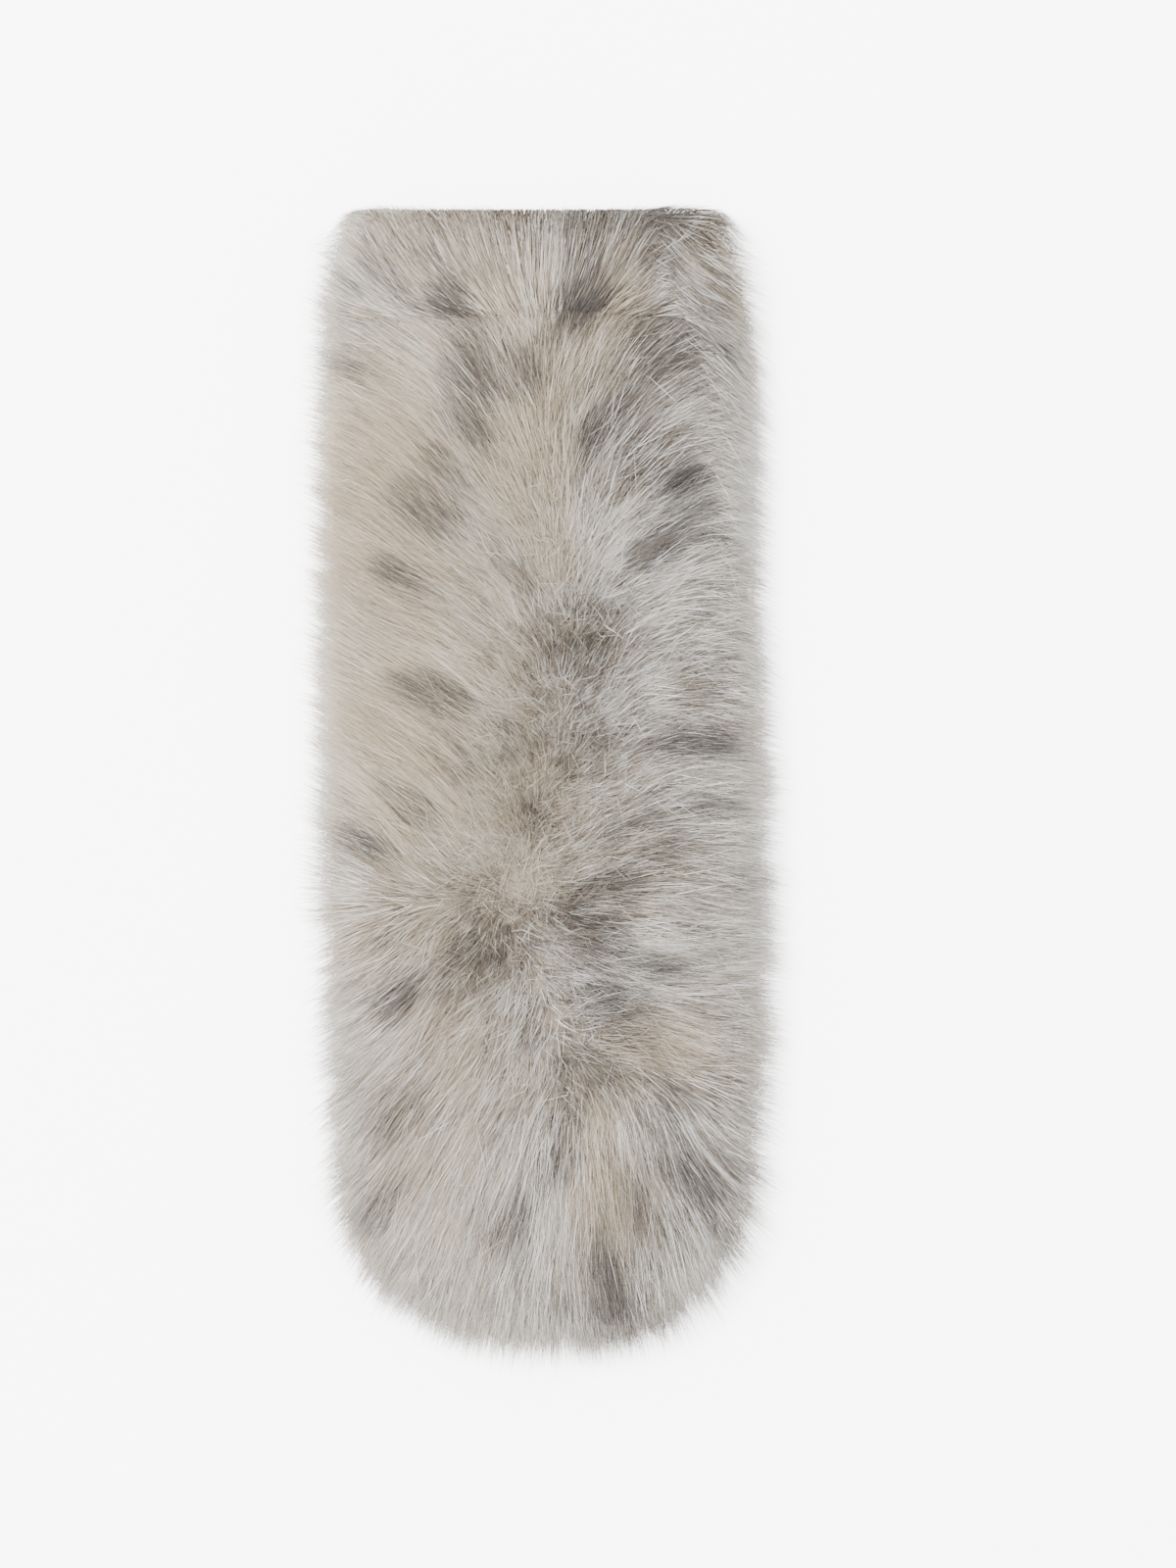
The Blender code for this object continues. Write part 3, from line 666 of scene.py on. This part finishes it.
class Nodes:
    """A material's node tree, built by naming each node's inputs."""

    def __init__(self, name):
        self.material = bpy.data.materials.new(name)
        self.material.use_nodes = True
        self.tree = self.material.node_tree
        self.shader = self.tree.nodes["Principled BSDF"]

    def put(self, node, inputs):
        for key, value in inputs.items():
            if isinstance(value, bpy.types.NodeSocket):
                self.tree.links.new(value, node.inputs[key])
            else:
                node.inputs[key].default_value = value

    def add(self, kind, inputs=None, out=0, **settings):
        node = self.tree.nodes.new(kind)
        for key, value in settings.items():
            setattr(node, key, value)
        self.put(node, inputs or {})
        return node.outputs[out]

    def parts(self, attribute):
        """The numbers that a mesh carries under a name."""
        source = self.tree.nodes.new("ShaderNodeAttribute")
        source.attribute_name = attribute
        node = self.tree.nodes.new("ShaderNodeSeparateColor")
        self.tree.links.new(source.outputs["Color"], node.inputs[0])
        return *node.outputs, source.outputs["Alpha"]

    def math(self, operation, a, b=0.0):
        return self.add("ShaderNodeMath", {0: a, 1: b}, operation=operation)

    def ramp(self, value, stops, smooth=False):
        """What stops of (place, colour or number) give at a value."""
        node = self.tree.nodes.new("ShaderNodeValToRGB")
        node.color_ramp.interpolation = "EASE" if smooth else "LINEAR"
        elements = node.color_ramp.elements
        while len(elements) < len(stops):
            elements.new(0.5)
        for element, (place, colour) in zip(elements, stops):
            element.position = place
            element.color = (*colour, 1) if isinstance(colour, tuple) else (colour, colour, colour, 1)
        self.tree.links.new(value, node.inputs[0])
        return node.outputs[0]

    def blend(self, share, a, b, how="MIX"):
        """Colour a with a share of colour b."""
        node = self.tree.nodes.new("ShaderNodeMix")
        node.data_type, node.blend_type = "RGBA", how
        self.put(node, {0: share, 6: a, 7: b})
        return node.outputs[2]


# Colours of the hair: root, middle and tip of the warm kind and of the grey, silver and pale hair, darker
# hair and markings. The pale colours are also used for painted light and the darker one for painted
# shade.
ROOT_WARM, MID_WARM, TIP_WARM = (0.20, 0.160, 0.114), (0.245, 0.186, 0.122), (0.275, 0.216, 0.147)
ROOT_GREY, MID_GREY, TIP_GREY = (0.155, 0.134, 0.108), (0.175, 0.152, 0.123), (0.215, 0.195, 0.168)
SILVER, PALE_GREY, PALE_WARM = (0.48, 0.47, 0.45, 1), (0.46, 0.445, 0.42, 1), (0.43, 0.385, 0.31, 1)
# Brightness of single hairs: share of the hairs, and what their colour is multiplied by.
OWN_BRIGHTNESS = [(0.0, 0.08), (0.12, 0.24), (0.23, 0.72), (0.7, 1.17)]
DARK_TONE_AND_SHADE = (0.062, 0.050, 0.039, 1)
MARK_GREY, MARK_BROWN = (0.027, 0.023, 0.022, 1), (0.046, 0.036, 0.029, 1)


def coat_colour(nodes, share, warm):
    """Colour of unmarked hair from root to tip, between the grey kind and the warm one."""
    grey_hair = nodes.ramp(share, [(0.0, ROOT_GREY), (0.5, MID_GREY), (1.0, TIP_GREY)])
    warm_hair = nodes.ramp(share, [(0.0, ROOT_WARM), (0.5, MID_WARM), (1.0, TIP_WARM)])
    return nodes.blend(warm, grey_hair, warm_hair)


def hair_material(name, lively):
    """Hair that is taupe at the root and pale at the tip, with a dark band where it is marked."""
    nodes = Nodes(name)
    share, vary, brown, warm = nodes.parts("hair")
    middle, half, dark, tone_and_light = nodes.parts("band")
    warm = nodes.ramp(warm, [(0.0, 0.0), (1.0, 1.0)])
    coat = coat_colour(nodes, share, warm)

    # Darker where the band's fourth number is over a half, mostly towards the tip: the fur's own darker
    # places and locks, and painted shade on the right side.
    shaded = nodes.math("MULTIPLY", nodes.ramp(tone_and_light, [(0.5, 0.0), (1.0, 1.0)]),
                        nodes.ramp(share, [(0.1, 0.5), (0.6, 1.0)]))
    coat = nodes.blend(shaded, coat, DARK_TONE_AND_SHADE)

    # Some hairs turn silver towards the tip, less so in warm fur, and each has its own brightness.
    silver = nodes.ramp(vary, [(0.88 - 0.12 * lively, 0.0), (0.92 - 0.06 * lively, 1.0)])
    silver = nodes.math("MULTIPLY", silver, nodes.ramp(share, [(0.3, 0.0), (0.8, 1.0)]))
    calm = nodes.ramp(warm, [(0.2, lively), (0.8, 0.2 * lively)])
    coat = nodes.blend(nodes.math("MULTIPLY", silver, calm), coat, SILVER)
    own = nodes.blend(1.0, coat, nodes.ramp(vary, OWN_BRIGHTNESS), "MULTIPLY")
    coat = nodes.blend(math.sqrt(lively), coat, own)

    # Paler where that number is under a half: pale hairs crossing the markings and paler places of the
    # fur, and painted light on the left rim, at the top-left corner, beside the parting and towards the
    # reach.
    pale = nodes.blend(warm, PALE_GREY, PALE_WARM)
    coat = nodes.blend(nodes.ramp(tone_and_light, [(0.0, 1.0), (0.5, 0.0)]), coat, pale)

    # The dark band, soft at both ends.
    away = nodes.math("DIVIDE", nodes.math("ABSOLUTE", nodes.math("SUBTRACT", share, middle)), half)
    inside = nodes.ramp(away, [(0.0, 1.0), (0.55, 0.85), (1.0, 0.0)], smooth=True)
    mark = nodes.blend(brown, MARK_GREY, MARK_BROWN)
    coat = nodes.blend(nodes.math("MULTIPLY", inside, dark), coat, mark)
    nodes.put(nodes.shader, {"Base Color": coat, "Roughness": 0.65, "Specular IOR Level": 0.15})
    return nodes.material


def undercoat_material(name):
    """Dense fur at the skin, in the colours of the hair's lower part."""
    nodes = Nodes(name)
    position = nodes.add("ShaderNodeTexCoord", out=3)
    fine = nodes.add("ShaderNodeTexNoise", {"Vector": position, "Scale": 900.0, "Detail": 4.0})
    coat = nodes.blend(0.35, coat_colour(nodes, nodes.math("MULTIPLY", fine, 0.6), 0.5), DARK_TONE_AND_SHADE)
    bump = nodes.add("ShaderNodeBump", {"Height": fine, "Strength": 0.6, "Distance": 0.001})
    nodes.put(nodes.shader, {"Base Color": coat, "Roughness": 0.9, "Normal": bump})
    return nodes.material


def suede_material(name):
    """The flesh side of the skin: cream suede with a fine nap and faint blotches."""
    nodes = Nodes(name)
    position = nodes.add("ShaderNodeTexCoord", out=3)
    nap = nodes.add("ShaderNodeTexNoise", {"Vector": position, "Scale": 1400.0, "Detail": 3.0})
    blotch = nodes.add("ShaderNodeTexNoise", {"Vector": position, "Scale": 40.0, "Detail": 2.0})
    tone = nodes.ramp(blotch, [(0.3, (0.40, 0.32, 0.23)), (0.7, (0.50, 0.42, 0.32))])
    tone = nodes.blend(nodes.math("MULTIPLY", nap, 0.5), tone, (0.30, 0.23, 0.16, 1))
    bump = nodes.add("ShaderNodeBump", {"Height": nap, "Strength": 0.5, "Distance": 0.0005})
    nodes.put(nodes.shader, {"Base Color": tone, "Roughness": 0.85, "Normal": bump})
    return nodes.material


rng = np.random.default_rng(SEED)
fur = hair_material("fur_hair", lively=0.7)
strands = hair_material("fur_strands", lively=1.0)
FRONT_LOW, FRONT_HIGH = HIDE_END, FOLD_START
BACK_LOW, BACK_HIGH = ROUND_FOLD - FOLD_START, ROUND_FOLD - HIDE_END
LONG_HIGH = FOLD_MIDDLE - 30 * MM       # the long hair's roots stop short of the fold
FRINGE_HIGH = FOLD_MIDDLE + 30 * MM
BACK_FRINGE_LOW = FOLD_MIDDLE + 24 * MM
FOLD_HAIR_LOW = FOLD_MIDDLE - 40 * MM
RIM_BAND = 26 * MM                      # the fringes grow within this distance of the skin's edge
TANGLE_TRIED = 190000                   # roots tried for the tangle, which grows beside the parting only
TANGLE_NEAR = (0.2, 1.2)

#             travel    width full          arch        yaw ends         droop upright stray
down = Coat((24, 36), 0.80, (0.66, 0.92), (1.2, 1.8), 4, (16, 3, 1.2), 2)
guard = Coat((36, 50), 0.45, (0.80, 0.98), (1.4, 2.2), 2, (12, -2, 1.3), 6, 0.24)
strand = Coat((38, 56), 0.30, (0.88, 1.04), (1.5, 2.6), 4, (11, -6, 1.8), 9, 0.28, 0.2)
fringe = Coat((34, 52), 0.28, (0.00, 1.00), (1.2, 2.2), 5, (9, -8, 1.4), 11)
tangle = Coat((26, 46), 0.34, (0.70, 1.02), (1.1, 2.0), 26, (10, 0, 1.0), 0, 0.36)
wrap = Coat((18, 30), 0.50, (1.03, 1.06), (2.0, 2.6), 4, (8, -4, 1.0), 12)
back = Coat((34, 46), 0.35, (0.60, 1.00), (1.6, 2.4), 8, (10, -3, 1.5), 3)
back_fringe = Coat((34, 48), 0.30, (0.00, 0.95), (1.2, 2.2), 9, (6, -5, 1.2), 4)


def cover(name, coat, roots, material, slot="fur_front"):
    """Grows a coat on its roots and keeps the piece."""
    hair_piece(name, coat, *roots, rng, material, slot)


cover("down", down, scatter(54000, FRONT_LOW, FOLD_MIDDLE, rng), fur)
cover("guard_hair_1", guard, scatter(58000, FRONT_LOW, LONG_HIGH, rng), fur)
cover("guard_hair_2", guard, scatter(58000, FRONT_LOW, LONG_HIGH, rng), fur)
cover("strands", strand, scatter(62000, FRONT_LOW, LONG_HIGH, rng), strands)
cover("fringe", fringe, scatter(64000, FRONT_LOW, FRINGE_HIGH, rng, RIM_BAND), strands)
across, along = scatter(TANGLE_TRIED, FRONT_LOW, FOLD_MIDDLE, rng)
near = parting_share(across, along) > rng.uniform(*TANGLE_NEAR, len(across))
cover("tangle", tangle, (across[near], along[near]), strands)
cover("fold_hair", wrap, scatter(21500, FOLD_HAIR_LOW, BACK_LOW, rng), fur, "fur_fold")
cover("back_hair", back, scatter(11000, BACK_LOW, BACK_HIGH, rng), fur, "fur_back")
cover("back_fringe", back_fringe, scatter(35000, BACK_FRINGE_LOW, BACK_HIGH, rng, RIM_BAND), fur,
      "fur_back")


UNDERCOAT_FILL = 0.60           # share of the pile's height that the undercoat takes up
UNDERCOAT_INSET = 12 * MM       # how far inside the reach it stops
UNDERCOAT_END_INSET = 24 * MM   # the same at the free ends, where the fur thins out early
UNDERCOAT_END, UNDERCOAT_BLEND = 80 * MM, 50 * MM   # how far from the free end the inset starts to change
                                # and over how long a stretch
UNDERCOAT_SHOULDER = 22 * MM    # distance from its edge at which it is full
UNDERCOAT_EDGE = 0.8 * MM       # its height at the edge
UNDERCOAT_BUMPS = (0.10, 7 * MM, 5), (0.06, 3.4 * MM, 6)    # most, size of features and seed
ROW_PITCH, COLUMNS = 4.5 * MM, 40
LEAST_HALF = 0.5 * MM           # half width of its last row
SKIN_CLEAR = 4 * MM             # how far past the skin's edge it begins to fill the space between layers
FILL_START, FILL_BLEND = 0.5 * MM, 3 * MM
GAP = 0.3 * MM                  # it stays this far off the skin, the floor and the middle of the fold


def undercoat(name, low, high, node, material):
    """The dense short fur at the skin, as one closed body that follows the skin round the fold."""
    rows = int((high - low) / ROW_PITCH)
    along = np.repeat(np.linspace(low, high, rows)[:, None], COLUMNS, axis=1)
    y = np.where(along > FOLD_MIDDLE, ROUND_FOLD - along, along)
    middle = np.interp(y, PLAN_Y, PLAN_MIDDLE)
    length, power = FREE_END_ROUND
    at_end = rise((FREE_END + UNDERCOAT_END - y) / UNDERCOAT_BLEND)
    inset = mix(UNDERCOAT_INSET, UNDERCOAT_END_INSET, at_end)
    end = np.clip((FREE_END + UNDERCOAT_END_INSET + length - y) / length, 0, 1)
    half = (np.interp(y, PLAN_Y, PLAN_HALF) - inset) * (1 - end ** power) ** (1 / power)
    across = middle + np.maximum(half, LEAST_HALF) * np.linspace(-1, 1, COLUMNS)
    rim = shoulder(edge_distance(across, along) - inset, UNDERCOAT_SHOULDER)
    broad, close = (wander(across, along, kind) for kind in UNDERCOAT_BUMPS)
    top = UNDERCOAT_EDGE + UNDERCOAT_FILL * room(across, along) * rim * (1 + broad + close)
    upper = bend(across, along, top).reshape(-1, 3)
    upper[:, 2] = np.maximum(upper[:, 2], GAP)
    skin_y, skin_z = (np.interp(along, PATH[0], column) for column in PATH[1:3])
    to_middle = np.hypot(skin_z - MID_Z, np.maximum(skin_y - TURN_Y, 0)) - GAP
    skin_edge = hide_half(np.minimum(y, TURN_Y) + SKIN_CLEAR)
    past = rise((np.abs(across) - skin_edge - FILL_START) / FILL_BLEND)
    lower = bend(across, along, mix(GAP, -to_middle, past)).reshape(-1, 3)

    grid = np.arange(rows * COLUMNS).reshape(rows, COLUMNS)
    quads = np.stack([grid[:-1, :-1], grid[:-1, 1:], grid[1:, 1:], grid[1:, :-1]], -1).reshape(-1, 4)
    rim_loop = np.concatenate([grid[0, :-1], grid[:-1, -1], grid[-1, :0:-1], grid[:0:-1, 0]])
    after = np.roll(rim_loop, -1)
    under = rows * COLUMNS
    sides = np.stack([rim_loop, rim_loop + under, after + under, after], -1)
    faces = np.concatenate([quads, quads[:, ::-1] + under, sides])
    mesh = bpy.data.meshes.new(name)
    mesh.from_pydata(np.concatenate([upper, lower]).tolist(), [], faces.tolist())
    mesh.shade_smooth()
    mesh.materials.append(material)
    thing = bpy.data.objects.new(name, mesh)
    bpy.context.collection.objects.link(thing)
    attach(thing, "root")
    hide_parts(node)
    return thing


felt = undercoat_material("undercoat_fur")
undercoat("undercoat_front", FREE_END + UNDERCOAT_END_INSET, FRONT_HIGH, "pile_front",
                        felt)
undercoat("undercoat_fold", FRONT_HIGH, BACK_LOW, "pile_fold", felt)
undercoat("undercoat_back", BACK_LOW, ROUND_FOLD - FREE_END - UNDERCOAT_END_INSET,
                        "pile_back", felt)
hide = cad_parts["hide"]
hide.material_slots[0].material = suede_material("suede")

# The ground, with some light of its own, white light from all round, one lamp, and the camera.
EDGE = 9                # m from the middle of the floor to its edges
floor_mesh = bpy.data.meshes.new("floor")
floor_mesh.from_pydata([(-EDGE, -EDGE, 0), (EDGE, -EDGE, 0), (EDGE, EDGE, 0), (-EDGE, EDGE, 0)],
                       [], [(0, 1, 2, 3)])
floor = bpy.data.objects.new("floor", floor_mesh)
bpy.context.collection.objects.link(floor)
ground = Nodes("floor_paper")
ground.put(ground.shader, {"Base Color": (0.9, 0.9, 0.9, 1), "Roughness": 0.9,
                           "Emission Color": (1, 1, 1, 1), "Emission Strength": 3.2})
floor_mesh.materials.append(ground.material)

world = bpy.data.worlds.new("studio")
world.use_nodes = True
background = world.node_tree.nodes["Background"]
background.inputs["Color"].default_value = (1, 1, 1, 1)
background.inputs["Strength"].default_value = 2.4
bpy.context.scene.world = world


def area_light(name, place, size, power):
    """A round lamp that points at the origin."""
    lamp = bpy.data.lights.new(name, "AREA")
    lamp.shape, lamp.size, lamp.energy = "DISK", size, power
    thing = bpy.data.objects.new(name, lamp)
    thing.location = place
    thing.rotation_euler = (-Vector(place)).to_track_quat("-Z", "Y").to_euler()
    bpy.context.collection.objects.link(thing)


area_light("key", place=(-0.8, 0.5, 3.1), size=1.8, power=400)

camera_data = bpy.data.cameras.new("camera")
camera_data.sensor_fit = "VERTICAL"
camera_data.sensor_height = 24
camera_data.lens = 85.05
camera = bpy.data.objects.new("camera", camera_data)
camera.location = (0.0182, 0.0012, 2.22)
bpy.context.collection.objects.link(camera)
bpy.context.scene.camera = camera
